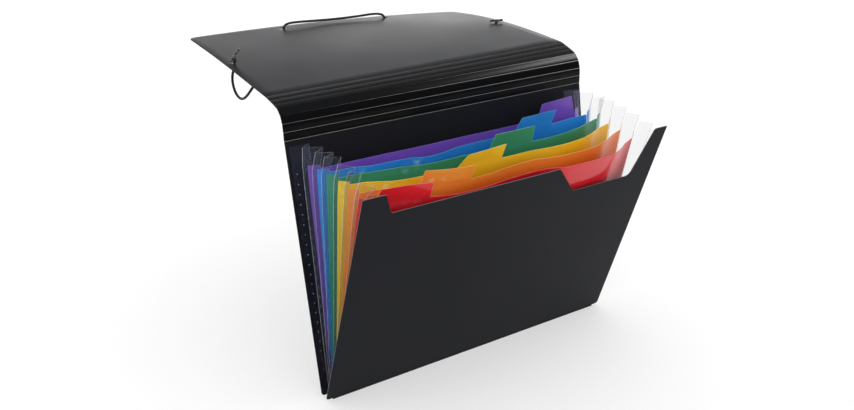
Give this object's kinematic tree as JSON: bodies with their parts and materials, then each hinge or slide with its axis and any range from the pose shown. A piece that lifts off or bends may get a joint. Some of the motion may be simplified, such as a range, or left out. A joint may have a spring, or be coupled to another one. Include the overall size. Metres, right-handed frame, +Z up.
{
  "type": "accordion file folder",
  "caption": "Standing expanding file with stiff black covers, coloured tabbed dividers, clear pleated gussets, and a scored fold-over flap held by a round elastic.",
  "frame": {"origin": "middle of the underside of the bottom spine", "axes": "+X across the file to the right seen from the front, +Y towards the back cover, +Z up"},
  "size_m": [0.335, 0.3394, 0.2841],
  "materials": {
    "cover_plastic": "fine matte grain",
    "gusset_film": "frosted film",
    "elastic": "braided round elastic",
    "bar_metal": "bright plated",
    "divider_purple_sheet": "satin sheet",
    "divider_blue_sheet": "satin sheet",
    "divider_green_sheet": "satin sheet",
    "divider_yellow_sheet": "satin sheet",
    "divider_orange_sheet": "satin sheet",
    "divider_red_sheet": "satin sheet"
  },
  "bodies": {
    "back_cover": {"back_panel": "cover_plastic", "bottom_spine": "cover_plastic", "left_flange_back": "gusset_film", "right_flange_back": "gusset_film", "left_pleat_1": "gusset_film", "right_pleat_1": "gusset_film"},
    "divider_purple": {"divider_purple": "divider_purple_sheet", "left_pleat_2": "gusset_film", "right_pleat_2": "gusset_film"},
    "divider_blue": {"divider_blue": "divider_blue_sheet", "left_pleat_3": "gusset_film", "right_pleat_3": "gusset_film"},
    "divider_green": {"divider_green": "divider_green_sheet", "left_pleat_4": "gusset_film", "right_pleat_4": "gusset_film"},
    "divider_yellow": {"divider_yellow": "divider_yellow_sheet", "left_pleat_5": "gusset_film", "right_pleat_5": "gusset_film"},
    "divider_orange": {"divider_orange": "divider_orange_sheet", "left_pleat_6": "gusset_film", "right_pleat_6": "gusset_film"},
    "divider_red": {"divider_red": "divider_red_sheet", "left_pleat_7": "gusset_film", "right_pleat_7": "gusset_film"},
    "front_cover": {"front_panel": "cover_plastic", "left_flange_front": "gusset_film", "right_flange_front": "gusset_film"},
    "fold_strip_1": {"fold_strip_1": "cover_plastic"},
    "fold_strip_2": {"fold_strip_2": "cover_plastic"},
    "fold_strip_3": {"fold_strip_3": "cover_plastic"},
    "fold_strip_4": {"fold_strip_4": "cover_plastic"},
    "fold_strip_5": {"fold_strip_5": "cover_plastic"},
    "fold_strip_6": {"fold_strip_6": "cover_plastic"},
    "fold_strip_7": {"fold_strip_7": "cover_plastic"},
    "flap": {"flap": "cover_plastic", "elastic_cord": "elastic", "left_bar_end": "bar_metal", "right_bar_end": "bar_metal"}
  },
  "joints": [
    {"name": "pocket_1", "type": "hinge", "parent": "back_cover", "child": "divider_purple", "pos_m": [0, 0.00235, 0.00225], "axis": [1, 0, 0], "range_deg": [-3.76, 1.13], "deforming": ["left_pleat_1", "right_pleat_1"]},
    {"name": "pocket_2", "type": "hinge", "parent": "divider_purple", "child": "divider_blue", "pos_m": [0, 0.00141, 0.00235], "axis": [1, 0, 0], "range_deg": [-3.76, 1.13], "deforming": ["left_pleat_2", "right_pleat_2"]},
    {"name": "pocket_3", "type": "hinge", "parent": "divider_blue", "child": "divider_green", "pos_m": [0, 0.00046, 0.00238], "axis": [1, 0, 0], "range_deg": [-3.76, 1.13], "deforming": ["left_pleat_3", "right_pleat_3"]},
    {"name": "pocket_4", "type": "hinge", "parent": "divider_green", "child": "divider_yellow", "pos_m": [0, -0.00049, 0.00235], "axis": [1, 0, 0], "range_deg": [-3.76, 1.13], "deforming": ["left_pleat_4", "right_pleat_4"]},
    {"name": "pocket_5", "type": "hinge", "parent": "divider_yellow", "child": "divider_orange", "pos_m": [0, -0.00143, 0.00225], "axis": [1, 0, 0], "range_deg": [-3.76, 1.13], "deforming": ["left_pleat_5", "right_pleat_5"]},
    {"name": "pocket_6", "type": "hinge", "parent": "divider_orange", "child": "divider_red", "pos_m": [0, -0.00237, 0.00208], "axis": [1, 0, 0], "range_deg": [-3.76, 1.13], "deforming": ["left_pleat_6", "right_pleat_6"]},
    {"name": "pocket_7", "type": "hinge", "parent": "divider_red", "child": "front_cover", "pos_m": [0, -0.00329, 0.00184], "axis": [1, 0, 0], "range_deg": [-3.76, 1.13], "deforming": ["left_pleat_7", "right_pleat_7"]},
    {"name": "score_1", "type": "hinge", "parent": "back_cover", "child": "fold_strip_1", "pos_m": [0, 0.04634, 0.23238], "axis": [-1, 0, 0], "range_deg": [-14, 4.2]},
    {"name": "score_2", "type": "hinge", "parent": "fold_strip_1", "child": "fold_strip_2", "pos_m": [0, 0.04673, 0.23987], "axis": [-1, 0, 0], "range_deg": [-25, 7.5]},
    {"name": "score_3", "type": "hinge", "parent": "fold_strip_2", "child": "fold_strip_3", "pos_m": [0, 0.04757, 0.24733], "axis": [-1, 0, 0], "range_deg": [-36.5, 10.95]},
    {"name": "score_4", "type": "hinge", "parent": "fold_strip_3", "child": "fold_strip_4", "pos_m": [0, 0.05031, 0.25431], "axis": [-1, 0, 0], "range_deg": [-43.5, 13.05]},
    {"name": "score_5", "type": "hinge", "parent": "fold_strip_4", "child": "fold_strip_5", "pos_m": [0, 0.05546, 0.25976], "axis": [-1, 0, 0], "range_deg": [-48.5, 10.67]},
    {"name": "score_6", "type": "hinge", "parent": "fold_strip_5", "child": "fold_strip_6", "pos_m": [0, 0.06253, 0.26227], "axis": [-1, 0, 0], "range_deg": [-25.5, 5.61]},
    {"name": "score_7", "type": "hinge", "parent": "fold_strip_6", "child": "fold_strip_7", "pos_m": [0, 0.06975, 0.26428], "axis": [-1, 0, 0], "range_deg": [-23, 5.06]},
    {"name": "score_8", "type": "hinge", "parent": "fold_strip_7", "child": "flap", "pos_m": [0, 0.07703, 0.2661], "axis": [-1, 0, 0], "range_deg": [-32.5, 7.15]}
  ]
}
